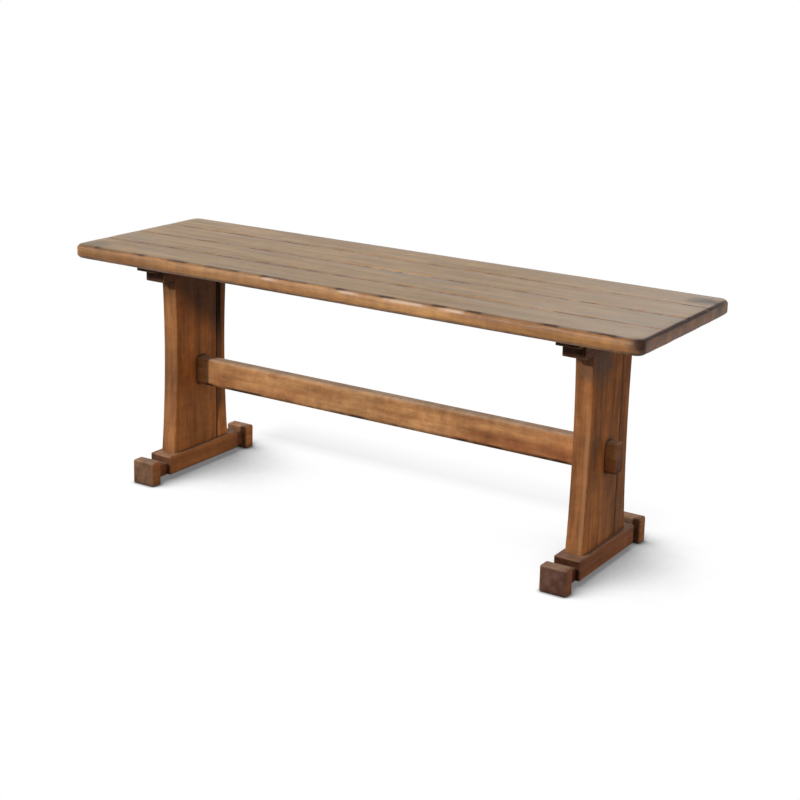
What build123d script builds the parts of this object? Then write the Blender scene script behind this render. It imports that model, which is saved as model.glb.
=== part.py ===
from build123d import *
import os

# Trestle bench. Millimetres, +Z up, X along the bench, front towards -Y.
# The origin is on the floor, under the middle of the bench.

# Seat
bench_length = 1200.0
seat_height = 468.0
seat_thickness = 27.0
board_width = 92.5
board_count = 4
seat_corner_radius = 18.0
seat_arris_radius = 6.0
seat_joint_ease = 2.0

# Cross bearers under the seat, with a thinner tip at each end
bearer_length = 292.0
bearer_width = 44.0
bearer_height = 39.5
bearer_tip_length = 28.0
bearer_tip_thickness = 15.0
bearer_cove_radius = 5.0
bearer_ease = 1.5

# Leg slabs: their setback from the seat's ends, and their widths at foot, half height and bearer
leg_setback = 149.0
leg_thickness = 34.0
leg_foot_width = 168.0
leg_waist_width = 149.0
leg_top_width = 159.0
leg_arris_radius = 3.0
leg_joint_ease = 2.5

# Distance from the middle of each leg to the joint of its two boards
left_leg_joint = 48.0
right_leg_joint = 40.0

# Twin tenons at the top and the foot of each leg's main board
tenon_thickness = 13.0
tenon_width = 38.0
tenon_gap = 17.0
tenon_setback = 11.0

# Stretcher
stretcher_width = 28.0
stretcher_height = 56.0
stretcher_underside = 176.0
stretcher_radius = 7.0
stretcher_proud = 21.0
stretcher_end_ease = 2.0

# Feet: a runner with a neck at each end, and the toe blocks that the necks enter
foot_length = 318.0
foot_width = 51.0
foot_height = 48.0
foot_relief = 11.0
foot_ease = 2.0
toe_length = 25.0
toe_ease = 4.0
notch_length = 27.0
notch_depth = 14.0
notch_side_depth = 9.0
neck_tenon_length = 14.0

# Dowels
dowel_diameter = 8.0
dowel_length = 34.0
dowel_ease = 1.0
dowel_end_room = 1.5
dowel_clearance = 0.2
seat_dowel_setback = 93.0
seat_dowels_per_joint = 4
leg_dowel_inset = 55.0

# Wedges, driven into the ends of the tenons
wedge_thickness = 3.0
wedge_tip_thickness = 0.6
wedge_length = 24.0
stretcher_wedge_length = 44.0

# Screws, up through the bearers into the seat
screw_diameter = 4.5
screw_length = 48.0
screw_head_diameter = 9.0
screw_head_height = 3.2
screw_point_length = 6.0
screw_point_diameter = 0.8
screw_counterbore = 8.0
screw_counterbore_room = 1.0
screw_clearance = 0.2
screw_setback = 13.0

# Overrun of every cut
cut_overrun = 5.0

# Sizes worked out from the ones above
seat_depth = board_count * board_width
seat_front = -seat_depth / 2
seat_underside = seat_height - seat_thickness
bearer_underside = seat_underside - bearer_height
bearer_body_length = bearer_length - 2 * bearer_tip_length
leg_spacing = bench_length - 2 * leg_setback
leg_middle = (foot_height + bearer_underside) / 2
tenon_reach = seat_underside - foot_relief
stretcher_middle = stretcher_underside + stretcher_height / 2
stretcher_length = leg_spacing + leg_thickness + 2 * stretcher_proud
stretcher_wedge_width = stretcher_width - 2 * stretcher_end_ease
runner_length = foot_length - 2 * (toe_length + notch_length)
neck_height = foot_height - notch_depth - foot_relief
neck_width = foot_width - 2 * notch_side_depth
neck_length = runner_length + 2 * (notch_length + neck_tenon_length)
dowel_hole_length = dowel_length + 2 * dowel_end_room
screw_seat = bearer_underside + screw_counterbore

# Places worked out from the sizes
legs = (("left", -leg_spacing / 2, left_leg_joint), ("right", leg_spacing / 2, right_leg_joint))
seat_joints = [seat_front + board_width * number for number in range(1, board_count)]
seat_dowel_row = bench_length - 2 * seat_dowel_setback
seat_dowel_spacing = seat_dowel_row / (seat_dowels_per_joint - 1)
seat_dowel_places = [
    seat_dowel_spacing * number - seat_dowel_row / 2 for number in range(seat_dowels_per_joint)
]
leg_dowel_heights = (foot_height + leg_dowel_inset, stretcher_middle, bearer_underside - leg_dowel_inset)
rear_tenon = min(left_leg_joint, right_leg_joint) - tenon_setback - tenon_width / 2
front_tenon = rear_tenon - tenon_width - tenon_gap
tenon_places = (front_tenon, rear_tenon)
outer_screw = bearer_body_length / 2 - screw_setback
screw_places = (-outer_screw, (front_tenon + rear_tenon) / 2, board_width / 2, outer_screw)

os.makedirs("parts", exist_ok=True)


def save(piece, name):
    piece.part.label = name
    export_step(piece.part, f"parts/{name}.step")
    print(name, len(piece.part.solids()), "solids", round(piece.part.volume), "mm3")


def leg_edge(side):
    # One waisted edge of a leg slab, side -1 at the front and 1 at the back
    return ThreePointArc(
        (side * leg_foot_width / 2, foot_height),
        (side * leg_waist_width / 2, leg_middle),
        (side * leg_top_width / 2, bearer_underside),
    )


def tenon_block(middle, mode):
    # Both twin tenons of a leg, from the underside of the foot to the seat
    with BuildSketch(Plane.XY.offset(foot_relief)) as plan:
        with Locations(*[(middle, place) for place in tenon_places]):
            Rectangle(tenon_thickness, tenon_width)
    extrude(plan.sketch, amount=tenon_reach, mode=mode)


def wedge(start, into, across, length, width, mode):
    # A wedge with its thick end at start, driven along into and as wide as the tenon across
    with BuildSketch(Plane(start, x_dir=into, z_dir=across)) as side_view:
        with BuildLine():
            Polyline(
                (0, -wedge_thickness / 2),
                (length, -wedge_tip_thickness / 2),
                (length, wedge_tip_thickness / 2),
                (0, wedge_thickness / 2),
                close=True,
            )
        make_face()
    extrude(side_view.sketch, amount=width, mode=mode)


def foot_wedge(middle, place, mode):
    start = (middle - tenon_thickness / 2, place, foot_relief)
    wedge(start, (0, 0, 1), (1, 0, 0), wedge_length, tenon_thickness, mode)


def bearer_wedge(middle, place, mode):
    start = (middle - tenon_thickness / 2, place, seat_underside)
    wedge(start, (0, 0, -1), (1, 0, 0), wedge_length, tenon_thickness, mode)


def stretcher_wedge(side, mode):
    start = (side * stretcher_length / 2, stretcher_wedge_width / 2, stretcher_middle)
    wedge(start, (-side, 0, 0), (0, -1, 0), stretcher_wedge_length, stretcher_wedge_width, mode)


def dowels_across(joint, places, radius, length, mode):
    # Round bars along Y, centred on a joint, at places given as (x, z)
    with BuildSketch(Plane.XZ.offset(-joint - length / 2)) as ends:
        with Locations(*places):
            Circle(radius)
    extrude(ends.sketch, amount=length, mode=mode)


def screw_body(middle, place, clearance, mode):
    # A countersunk screw standing on its head, or with a clearance the hole for it
    head = screw_head_diameter / 2 + clearance
    shank = screw_diameter / 2 + clearance
    point = screw_point_diameter / 2 + clearance
    top = screw_length + clearance
    with BuildSketch(Plane((middle, place, screw_seat), x_dir=(1, 0, 0), z_dir=(0, -1, 0))) as half_view:
        with BuildLine():
            Polyline(
                (0, 0),
                (head, 0),
                (shank, screw_head_height),
                (shank, screw_length - screw_point_length),
                (point, top),
                (0, top),
                close=True,
            )
        make_face()
    revolve(half_view.sketch, axis=Axis((middle, place, screw_seat), (0, 0, 1)), mode=mode)


# Seat boards, numbered from the front
for number in range(board_count):
    front_line = seat_front + board_width * number
    back_line = front_line + board_width
    board_joints = [line for line in (front_line, back_line) if line in seat_joints]

    with BuildPart() as seat_board:
        with BuildSketch(Plane.XY.offset(seat_underside)):
            with Locations((0, front_line + board_width / 2)):
                Rectangle(bench_length, board_width)
        extrude(amount=seat_thickness)

        # Rounded corners where the board ends the seat
        corners = seat_board.edges().filter_by(Axis.Z).group_by(Axis.Y)
        if front_line not in board_joints:
            fillet(corners[0], radius=seat_corner_radius)
        if back_line not in board_joints:
            fillet(corners[-1], radius=seat_corner_radius)

        # Eased arrises that leave a V along each joint, above and below
        long_edges = seat_board.edges().filter_by(Axis.X)
        for line in board_joints:
            beside = long_edges.filter_by_position(Axis.Y, line - seat_joint_ease, line + seat_joint_ease)
            chamfer(beside, length=seat_joint_ease)

        # Rounded arrises round the outside of the seat, above and below
        rim = seat_board.faces().filter_by(Axis.Z).edges()
        for line in board_joints:
            eased = line - seat_joint_ease if line == back_line else line + seat_joint_ease
            rim = rim - rim.filter_by(Axis.X).filter_by_position(Axis.Y, eased, eased)
        fillet(rim, radius=seat_arris_radius)

        # Holes for the dowels, and for the screws from the bearers
        dowel_places = [(place, seat_underside + seat_thickness / 2) for place in seat_dowel_places]
        for line in board_joints:
            hole_radius = dowel_diameter / 2 + dowel_clearance
            dowels_across(line, dowel_places, hole_radius, dowel_hole_length, Mode.SUBTRACT)
        for name, middle, joint in legs:
            for place in screw_places:
                if front_line < place < back_line:
                    screw_body(middle, place, screw_clearance, Mode.SUBTRACT)
    save(seat_board, f"seat_board_{number + 1}")

# Cross bearers, one over each leg
for name, middle, joint in legs:
    with BuildPart() as bearer:
        with BuildSketch(Plane.YZ.offset(middle - bearer_width / 2)) as side_view:
            with Locations((0, seat_underside - bearer_tip_thickness / 2)):
                Rectangle(bearer_length, bearer_tip_thickness)
            with Locations((0, seat_underside - bearer_height / 2)):
                Rectangle(bearer_body_length, bearer_height)
            tip_line = seat_underside - bearer_tip_thickness
            coves = side_view.vertices().filter_by_position(Axis.Y, tip_line, tip_line)
            coves = coves.filter_by_position(Axis.X, -bearer_body_length / 2, bearer_body_length / 2)
            fillet(coves, radius=bearer_cove_radius)
        extrude(amount=bearer_width)
        underside = bearer.faces().sort_by(Axis.Z)[0]
        tips = bearer.faces().filter_by(Axis.Y).group_by(Axis.Y)
        chamfer(underside.edges() + tips[0].edges() + tips[-1].edges(), length=bearer_ease)

        # Mortises for the leg's twin tenons, then the screw holes and their counterbores
        tenon_block(middle, Mode.SUBTRACT)
        with BuildSketch(Plane.XY.offset(bearer_underside - cut_overrun)):
            with Locations(*[(middle, place) for place in screw_places]):
                Circle(screw_head_diameter / 2 + screw_counterbore_room)
        extrude(amount=screw_counterbore + cut_overrun, mode=Mode.SUBTRACT)
        for place in screw_places:
            screw_body(middle, place, screw_clearance, Mode.SUBTRACT)
    save(bearer, f"bearer_{name}")

# Leg slabs: a main board with the tenons, and a narrow board along its back
for name, middle, joint in legs:
    leg_dowel_places = [(middle, height) for height in leg_dowel_heights]

    with BuildPart() as leg:
        with BuildSketch(Plane.YZ.offset(middle - leg_thickness / 2)):
            with BuildLine():
                front = leg_edge(-1)
                Polyline(front @ 1, (joint, bearer_underside), (joint, foot_height), front @ 0)
            make_face()
        extrude(amount=leg_thickness)
        fillet(leg.edges().filter_by(GeomType.CIRCLE), radius=leg_arris_radius)
        chamfer(leg.edges().filter_by(Axis.Z).group_by(Axis.Y)[-1], length=leg_joint_ease)
        tenon_block(middle, Mode.ADD)

        # Mortise that the stretcher passes through
        with BuildSketch(Plane.YZ.offset(middle - leg_thickness / 2 - cut_overrun)):
            with Locations((0, stretcher_middle)):
                RectangleRounded(stretcher_width, stretcher_height, stretcher_radius)
        extrude(amount=leg_thickness + 2 * cut_overrun, mode=Mode.SUBTRACT)
        hole_radius = dowel_diameter / 2 + dowel_clearance
        dowels_across(joint, leg_dowel_places, hole_radius, dowel_hole_length, Mode.SUBTRACT)
        for place in tenon_places:
            foot_wedge(middle, place, Mode.SUBTRACT)
            bearer_wedge(middle, place, Mode.SUBTRACT)
    save(leg, f"leg_{name}")

    with BuildPart() as edge_board:
        with BuildSketch(Plane.YZ.offset(middle - leg_thickness / 2)):
            with BuildLine():
                back = leg_edge(1)
                Polyline(back @ 1, (joint, bearer_underside), (joint, foot_height), back @ 0)
            make_face()
        extrude(amount=leg_thickness)
        fillet(edge_board.edges().filter_by(GeomType.CIRCLE), radius=leg_arris_radius)
        chamfer(edge_board.edges().filter_by(Axis.Z).group_by(Axis.Y)[0], length=leg_joint_ease)
        dowels_across(joint, leg_dowel_places, hole_radius, dowel_hole_length, Mode.SUBTRACT)
    save(edge_board, f"leg_{name}_edge_board")

# Stretcher, right through both legs
with BuildPart() as stretcher:
    with BuildSketch(Plane.YZ.offset(-stretcher_length / 2)):
        with Locations((0, stretcher_middle)):
            RectangleRounded(stretcher_width, stretcher_height, stretcher_radius)
    extrude(amount=stretcher_length)
    ends = stretcher.faces().sort_by(Axis.X)
    chamfer(ends[0].edges() + ends[-1].edges(), length=stretcher_end_ease)
    for side in (-1, 1):
        stretcher_wedge(side, Mode.SUBTRACT)
save(stretcher, "stretcher")

# Feet: the runner with its necks, then a toe block on each neck
for name, middle, joint in legs:
    with BuildPart() as runner:
        with BuildSketch(Plane.XY.offset(foot_relief)):
            with Locations((middle, 0)):
                Rectangle(foot_width, runner_length)
        extrude(amount=foot_height - foot_relief)
        chamfer(runner.edges(), length=foot_ease)
        with BuildSketch(Plane.XY.offset(foot_relief)):
            with Locations((middle, 0)):
                Rectangle(neck_width, neck_length)
        extrude(amount=neck_height)
        tenon_block(middle, Mode.SUBTRACT)
    save(runner, f"foot_{name}")

    for end, side in (("front", -1), ("rear", 1)):
        with BuildPart() as toe:
            with BuildSketch(Plane.XY):
                with Locations((middle, side * (foot_length - toe_length) / 2)):
                    Rectangle(foot_width, toe_length)
            extrude(amount=foot_height)
            fillet(toe.edges(), radius=toe_ease)
            with BuildSketch(Plane.XY.offset(foot_relief)):
                with Locations((middle, 0)):
                    Rectangle(neck_width, neck_length)
            extrude(amount=neck_height, mode=Mode.SUBTRACT)
        save(toe, f"toe_{name}_{end}")

# Dowels between the seat boards
with BuildPart() as seat_dowels:
    for line in seat_joints:
        dowel_places = [(place, seat_underside + seat_thickness / 2) for place in seat_dowel_places]
        dowels_across(line, dowel_places, dowel_diameter / 2, dowel_length, Mode.ADD)
    chamfer(seat_dowels.edges().filter_by(GeomType.CIRCLE), length=dowel_ease)
save(seat_dowels, "seat_dowels")

# Dowels between the two boards of each leg
with BuildPart() as leg_dowels:
    for name, middle, joint in legs:
        leg_dowel_places = [(middle, height) for height in leg_dowel_heights]
        dowels_across(joint, leg_dowel_places, dowel_diameter / 2, dowel_length, Mode.ADD)
    chamfer(leg_dowels.edges().filter_by(GeomType.CIRCLE), length=dowel_ease)
save(leg_dowels, "leg_dowels")

# Screws that hold the seat on the bearers
with BuildPart() as seat_screws:
    for name, middle, joint in legs:
        for place in screw_places:
            screw_body(middle, place, 0, Mode.ADD)
save(seat_screws, "seat_screws")

# Wedges that lock the tenons
with BuildPart() as foot_wedges:
    for name, middle, joint in legs:
        for place in tenon_places:
            foot_wedge(middle, place, Mode.ADD)
save(foot_wedges, "foot_wedges")

with BuildPart() as bearer_wedges:
    for name, middle, joint in legs:
        for place in tenon_places:
            bearer_wedge(middle, place, Mode.ADD)
save(bearer_wedges, "bearer_wedges")

with BuildPart() as stretcher_wedges:
    for side in (-1, 1):
        stretcher_wedge(side, Mode.ADD)
save(stretcher_wedges, "stretcher_wedges")
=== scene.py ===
# %% [markdown]
# # A trestle bench in worn brown wood
# The bench is 1.2 m long: four boards on two cross bearers, two slab legs on notched feet, and one stretcher that
# passes through both legs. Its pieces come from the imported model, already at their real size and place.
# This lesson sets the camera and the light, then the wood of the frame, then models the seat's worn boards.

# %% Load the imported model
import math
import bmesh
import bpy
from mathutils import Euler, Matrix, Vector


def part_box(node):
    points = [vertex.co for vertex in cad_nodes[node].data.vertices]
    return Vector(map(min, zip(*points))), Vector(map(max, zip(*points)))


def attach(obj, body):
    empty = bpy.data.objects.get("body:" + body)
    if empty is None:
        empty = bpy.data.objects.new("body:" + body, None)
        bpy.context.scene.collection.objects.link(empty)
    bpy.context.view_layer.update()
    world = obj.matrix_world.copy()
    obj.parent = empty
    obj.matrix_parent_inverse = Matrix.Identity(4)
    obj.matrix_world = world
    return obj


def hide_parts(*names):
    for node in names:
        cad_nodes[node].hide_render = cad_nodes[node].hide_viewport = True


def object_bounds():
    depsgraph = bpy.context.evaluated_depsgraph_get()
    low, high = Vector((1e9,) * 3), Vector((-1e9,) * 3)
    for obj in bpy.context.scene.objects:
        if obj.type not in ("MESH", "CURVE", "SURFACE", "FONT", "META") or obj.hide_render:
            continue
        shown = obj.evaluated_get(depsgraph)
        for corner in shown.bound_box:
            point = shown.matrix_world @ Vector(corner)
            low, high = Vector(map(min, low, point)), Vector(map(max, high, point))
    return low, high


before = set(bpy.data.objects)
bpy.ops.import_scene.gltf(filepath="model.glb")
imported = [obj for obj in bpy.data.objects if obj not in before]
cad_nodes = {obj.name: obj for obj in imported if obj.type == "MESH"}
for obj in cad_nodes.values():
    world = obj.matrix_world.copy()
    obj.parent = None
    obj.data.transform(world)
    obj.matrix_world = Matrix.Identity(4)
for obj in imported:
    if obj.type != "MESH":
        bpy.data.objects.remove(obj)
cad_low, cad_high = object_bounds()
print("CAD nodes:", len(cad_nodes), "box:", cad_low, cad_high)

# %% [markdown]
# ## Camera
# The camera could be placed by eye, but a bench has long straight edges, and a small error of place shows in all
# of them. So its place, turn and lens were found from the seat's, legs' and feet's corners in the photograph.
# The photograph has its horizon high in the picture, which a shifted lens gives. Only a small part of that shift
# is used here, and the rest is given by tilting the camera down, so that other views aren't cut off.

# %% Camera at the photograph's viewing angle
picture_width = 800
sensor_width = 36.0
camera_place = Vector((1.577, -2.424, 1.097))
camera_turn = math.radians(31.94)
camera_tilt = math.radians(12.61)
camera_roll = math.radians(1.54)
focal_pixels = 1611
centre_column = 415
centre_row = 280

camera_data = bpy.data.cameras.new("camera")
camera_data.sensor_width = sensor_width
camera_data.lens = focal_pixels / picture_width * sensor_width
camera_data.shift_x = (picture_width / 2 - centre_column) / picture_width
camera_data.shift_y = (centre_row - picture_width / 2) / picture_width
camera = bpy.data.objects.new("camera", camera_data)
bpy.context.scene.collection.objects.link(camera)
turn = Matrix.Rotation(camera_turn, 4, "Z")
tilt = Matrix.Rotation(math.pi / 2 - camera_tilt, 4, "X")
roll = Matrix.Rotation(camera_roll, 4, "Z")
camera.matrix_world = Matrix.Translation(camera_place) @ turn @ tilt @ roll
bpy.context.scene.camera = camera
bpy.context.scene.view_settings.view_transform = "Standard"
print("lens", round(camera_data.lens, 1), "mm, shift", camera_data.shift_x, camera_data.shift_y)

# %% [markdown]
# ## Nodes by hand and by code
# A material is a small chain of nodes. Adding each by hand in the shader editor and adding them in code come to
# the same thing. Short helpers keep the code as easy to follow as the picture of the chain would be.

# %% Helpers that add nodes
def add(tree, kind, sockets=(), **settings):
    # A node, with its settings, and with each socket set to a value or joined to another node's output
    node = tree.nodes.new("ShaderNode" + kind)
    for name, value in settings.items():
        setattr(node, name, value)
    for name, value in dict(sockets).items():
        if isinstance(value, bpy.types.NodeSocket):
            tree.links.new(value, node.inputs[name])
        else:
            node.inputs[name].default_value = value
    return node


def maths(tree, operation, first, second=0.0, third=0.0, clamp=False):
    node = add(tree, "Math", {0: first, 1: second, 2: third}, operation=operation, use_clamp=clamp)
    return node.outputs[0]


def between(tree, value, low, high, start=0.0, end=1.0):
    # Maps a value between low and high to start and end, held at both ends
    sockets = {"Value": value, "From Min": low, "From Max": high, "To Min": start, "To Max": end}
    return add(tree, "MapRange", sockets, clamp=True).outputs["Result"]


print("node helpers ready")

# %% Helpers for patterns and colours
def stretched(tree, vector, factors):
    # The same coordinates, stretched along each axis
    node = add(tree, "VectorMath", {0: vector, 1: factors}, operation="MULTIPLY")
    return node.outputs[0]


def noise(tree, vector, factors, detail=2.0, roughness=0.5):
    # A cloudy pattern with so many clouds in a metre along each axis
    place = stretched(tree, vector, factors)
    node = add(tree, "TexNoise", {"Vector": place, "Scale": 1.0, "Detail": detail, "Roughness": roughness})
    return node.outputs[0]


def blended(tree, share, first, second, blend="MIX"):
    # Two colours, the second laid over the first by a share from 0 to 1
    node = add(tree, "Mix", data_type="RGBA", blend_type=blend, clamp_factor=True)
    for index, value in ((0, share), (6, first), (7, second)):
        if isinstance(value, bpy.types.NodeSocket):
            tree.links.new(value, node.inputs[index])
        else:
            node.inputs[index].default_value = value
    return node.outputs[2]


def tinted(tree, colour, tint):
    return blended(tree, 1.0, colour, tint, "MULTIPLY")


def grey(tree, value):
    # A grey made from one value, to multiply a colour by
    return add(tree, "CombineXYZ", {"X": value, "Y": value, "Z": value}).outputs[0]


print("pattern helpers ready")

# %% Helpers for node groups
def new_group(name, inputs, outputs):
    # A node group with named inputs (name, kind, value) and named outputs
    group = bpy.data.node_groups.new(name, "ShaderNodeTree")
    for label, kind, value in inputs:
        socket = group.interface.new_socket(label, in_out="INPUT", socket_type="NodeSocket" + kind)
        if value is not None:
            socket.default_value = value
    for label in outputs:
        group.interface.new_socket(label, in_out="OUTPUT", socket_type="NodeSocketFloat")
    enter = group.nodes.new("NodeGroupInput")
    leave = group.nodes.new("NodeGroupOutput")
    return group, enter.outputs, leave.inputs


def placed_group(tree, group, sockets):
    node = tree.nodes.new("ShaderNodeGroup")
    node.node_tree = group
    for name, value in sockets.items():
        if isinstance(value, bpy.types.NodeSocket):
            tree.links.new(value, node.inputs[name])
        else:
            node.inputs[name].default_value = value
    return node.outputs


print("group helpers ready")

# %% [markdown]
# ## Light
# One lamp stands to the front and left, a little above. The edge of the left leg's shadow on the stretcher, and
# the seat's shadow down the legs, both give its direction. A small lamp would draw hard shadows, so this one is a
# few degrees wide.

# %% Key lamp
key_direction = Vector((0.5, 1.0, -0.55))
key_strength = 2.35
key_angle = math.radians(4)

key_data = bpy.data.lights.new("key_lamp", "SUN")
key_data.energy = key_strength
key_data.angle = key_angle
key_lamp = bpy.data.objects.new("key_lamp", key_data)
bpy.context.scene.collection.objects.link(key_lamp)
key_lamp.rotation_euler = key_direction.to_track_quat("-Z", "Y").to_euler()
print("key lamp", key_strength)

# %% [markdown]
# The world is white where the camera or a reflection sees it, and dimmer where it lights the wood, so that the
# space under the seat stays dark. A white world at full strength would fill every shadow.

# %% World
ambient = 0.42


def seen_directly(tree):
    # 1 where the camera, a reflection or glass looks, 0 where light is gathered
    path = add(tree, "LightPath").outputs
    seen = maths(tree, "ADD", path["Is Camera Ray"], path["Is Glossy Ray"])
    return maths(tree, "ADD", seen, path["Is Transmission Ray"], clamp=True)


world = bpy.data.worlds.new("white_room")
bpy.context.scene.world = world
world.use_nodes = True
world.node_tree.nodes.clear()
backdrop_strength = between(world.node_tree, seen_directly(world.node_tree), 0.0, 1.0, ambient, 1.0)
background = add(world.node_tree, "Background", {"Color": (1, 1, 1, 1), "Strength": backdrop_strength})
add(world.node_tree, "OutputWorld", {"Surface": background.outputs[0]})
print("ambient light", ambient)

# %% [markdown]
# ## Floor
# The floor is white up to the bench, as in the photograph, with a soft shadow behind and to the right of each foot.
# A real white floor would throw light back up under the seat, which is dark in the photograph. So what lights the
# wood is a darker floor, and what is seen is a white one that the bench shades. The shading looks towards the lamp.

# %% Floor plane
floor_size = 14.0

bpy.ops.object.select_all(action="DESELECT")
bpy.ops.mesh.primitive_plane_add(size=floor_size, location=(0, 0, 0))
floor = bpy.context.object
floor.name = "floor"
print("floor", floor_size, "m square")

# %% Floor material
shadow_reach = 0.24
shadow_lift = 0.6
darkest_share = 0.34
lightest_share = 0.85
lightest_core = 0.15
contact_reach = 0.009
contact_shade = 0.40
floor_bounce = (0.20, 0.17, 0.14, 1)
shade_colour = (0.035, 0.033, 0.033, 1)
white = (1.0, 1.0, 1.0, 1)
stretcher_low, stretcher_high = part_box("stretcher")
strip_place = 0.59 * (stretcher_low.z + stretcher_high.z)
strip_near_reach = 0.055
strip_far_reach = 0.115
left_strip_shade = 0.84
right_strip_shade = 0.91


def new_material(name):
    material = bpy.data.materials.new(name)
    material.use_nodes = True
    material.node_tree.nodes.clear()
    return material, material.node_tree


floor_material, tree = new_material("white_floor")
towards_lamp = -key_direction.normalized()
lean = (towards_lamp + Vector((0, 0, shadow_lift))).normalized()
lean_node = add(tree, "CombineXYZ", {"X": lean.x, "Y": lean.y, "Z": lean.z})
shaded = add(tree, "AmbientOcclusion", {"Distance": shadow_reach, "Normal": lean_node.outputs[0]}, samples=16)
open_share = between(tree, shaded.outputs["AO"], darkest_share, lightest_share)
open_share = maths(tree, "SMOOTH_MAX", open_share, lightest_core, 0.08)
floor_colour = blended(tree, open_share, shade_colour, white)
touching = add(tree, "AmbientOcclusion", {"Distance": contact_reach}, samples=16)
contact = between(tree, touching.outputs["AO"], 0.45, 0.98, contact_shade, 1.0)
floor_colour = tinted(tree, floor_colour, grey(tree, contact))

# The faint strip of shade that the stretcher throws behind it
floor_point = add(tree, "SeparateXYZ", {"Vector": add(tree, "TexCoord").outputs["Object"]}).outputs
beyond = maths(tree, "SUBTRACT", floor_point["Y"], strip_place)
strip_near = between(tree, beyond, -strip_near_reach, 0.0)
strip_far = between(tree, beyond, strip_far_reach, 0.0)
strip = maths(tree, "MULTIPLY", strip_near, strip_far)
strip_left = between(tree, floor_point["X"], stretcher_low.x, 0.88 * stretcher_low.x)
strip_right = between(tree, floor_point["X"], stretcher_high.x, 0.75 * stretcher_high.x)
strip = maths(tree, "MULTIPLY", strip, maths(tree, "MULTIPLY", strip_left, strip_right))
strip_shade = between(tree, floor_point["X"], 0.9 * stretcher_low.x, 0.0, left_strip_shade, right_strip_shade)
strip_colour = tinted(tree, floor_colour, grey(tree, strip_shade))
floor_colour = blended(tree, strip, floor_colour, strip_colour)
shown = add(tree, "Emission", {"Color": floor_colour, "Strength": 1.0})
bounced = add(tree, "BsdfDiffuse", {"Color": floor_bounce})
either = add(tree, "MixShader", {0: seen_directly(tree), 1: bounced.outputs[0], 2: shown.outputs[0]})
add(tree, "OutputMaterial", {"Surface": either.outputs[0]})
floor.data.materials.append(floor_material)
print("floor shadow reaches", shadow_reach, "m")

# %% [markdown]
# ## Grain
# Wood is a stack of yearly rings round the pith, cut through by a saw. A picture of wood wrapped round each piece
# would show the same face on its sides and on its ends. A solid pattern in the piece's own coordinates shows long
# lines on the faces and arcs on the ends, as sawn wood does. X runs along the fibres here, and the pith is the X axis.

# %% Grain group: yearly rings
ring_pitch = 0.314159
grain, given, made = new_group(
    "Wood grain",
    [("Vector", "Vector", None), ("Ring Width", "Float", 0.005), ("Wander", "Float", 0.012)],
    ("Rings", "Fibres", "Pores", "Streaks", "Mottle", "Clouds"),
)
wood = given["Vector"]
bend = add(grain, "TexNoise", {"Vector": stretched(grain, wood, (2.2, 11, 11)), "Scale": 1.0, "Detail": 2.0})
centred = add(grain, "VectorMath", {0: bend.outputs["Color"], 1: (0.5, 0.5, 0.5)}, operation="SUBTRACT")
drift = add(grain, "VectorMath", {0: centred.outputs[0], "Scale": given["Wander"]}, operation="SCALE")
bent = add(grain, "VectorMath", {0: wood, 1: drift.outputs[0]}, operation="ADD")
flattened = stretched(grain, bent.outputs[0], (0.05, 1, 1))
ring_scale = maths(grain, "DIVIDE", ring_pitch, given["Ring Width"])
wave_sockets = {"Vector": flattened, "Scale": ring_scale, "Distortion": 2.2, "Detail": 2.0, "Detail Scale": 1.0}
wave = add(grain, "TexWave", wave_sockets, wave_type="RINGS", rings_direction="X", wave_profile="SAW")
rings = maths(grain, "POWER", wave.outputs["Fac"], 2.2)
grain.links.new(rings, made["Rings"])
print("rings made")

# %% [markdown]
# Between the rings lie fibres as fine as hairs, and pores as short dark dashes where the ring is pale. Stain sinks
# in unevenly, so the colour also changes in long streaks, in blotches of a few centimetres, and in wide clouds.

# %% Grain group: fibres, pores, streaks, blotches and clouds
fibres = between(grain, noise(grain, wood, (9, 380, 380), 3.0, 0.6), 0.32, 0.68)
pore_dashes = between(grain, noise(grain, wood, (60, 1300, 1300), 1.0), 0.58, 0.70)
pores = maths(grain, "MULTIPLY", pore_dashes, between(grain, rings, 0.1, 0.6, 1.0, 0.25))
streaks = between(grain, noise(grain, wood, (5, 62, 62), 2.0, 0.5), 0.34, 0.66)
cross_figure = between(grain, noise(grain, wood, (60, 22, 22), 3.0, 0.6), 0.34, 0.66)
blotches = between(grain, noise(grain, wood, (20, 60, 60), 3.0, 0.6), 0.34, 0.66)
mottle = maths(grain, "MULTIPLY", maths(grain, "ADD", cross_figure, blotches), 0.5)
clouds = between(grain, noise(grain, wood, (4, 12, 12), 3.0, 0.55), 0.3, 0.7)
patterns = {"Fibres": fibres, "Pores": pores, "Streaks": streaks, "Mottle": mottle, "Clouds": clouds}
for label, value in patterns.items():
    grain.links.new(value, made[label])
print("grain group:", len(grain.nodes), "nodes")

# %% [markdown]
# ## Edges and corners
# Hands and shoes rub the arrises, and dirt and polish gather in the corners, with painted shade laid in them too.
# Both follow the shape, so the shape itself gives them: a bevelled normal differs from the true one near an edge,
# and a corner is shaded by its walls.

# %% Edge wear group
edges, given, made = new_group("Edge wear", [("Vector", "Vector", None), ("Radius", "Float", 0.004)], ("Mask",))
rounded = add(edges, "Bevel", {"Radius": given["Radius"]}, samples=6)
surface = add(edges, "NewGeometry")
likeness = add(edges, "VectorMath", {0: rounded.outputs[0], 1: surface.outputs["Normal"]}, operation="DOT_PRODUCT")
near_edge = between(edges, likeness.outputs["Value"], 0.995, 0.86)
broken = between(edges, noise(edges, given["Vector"], (60, 60, 60), 3.0, 0.6), 0.35, 0.65)
edges.links.new(maths(edges, "MULTIPLY", near_edge, broken), made["Mask"])
print("edge wear group:", len(edges.nodes), "nodes")
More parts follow.
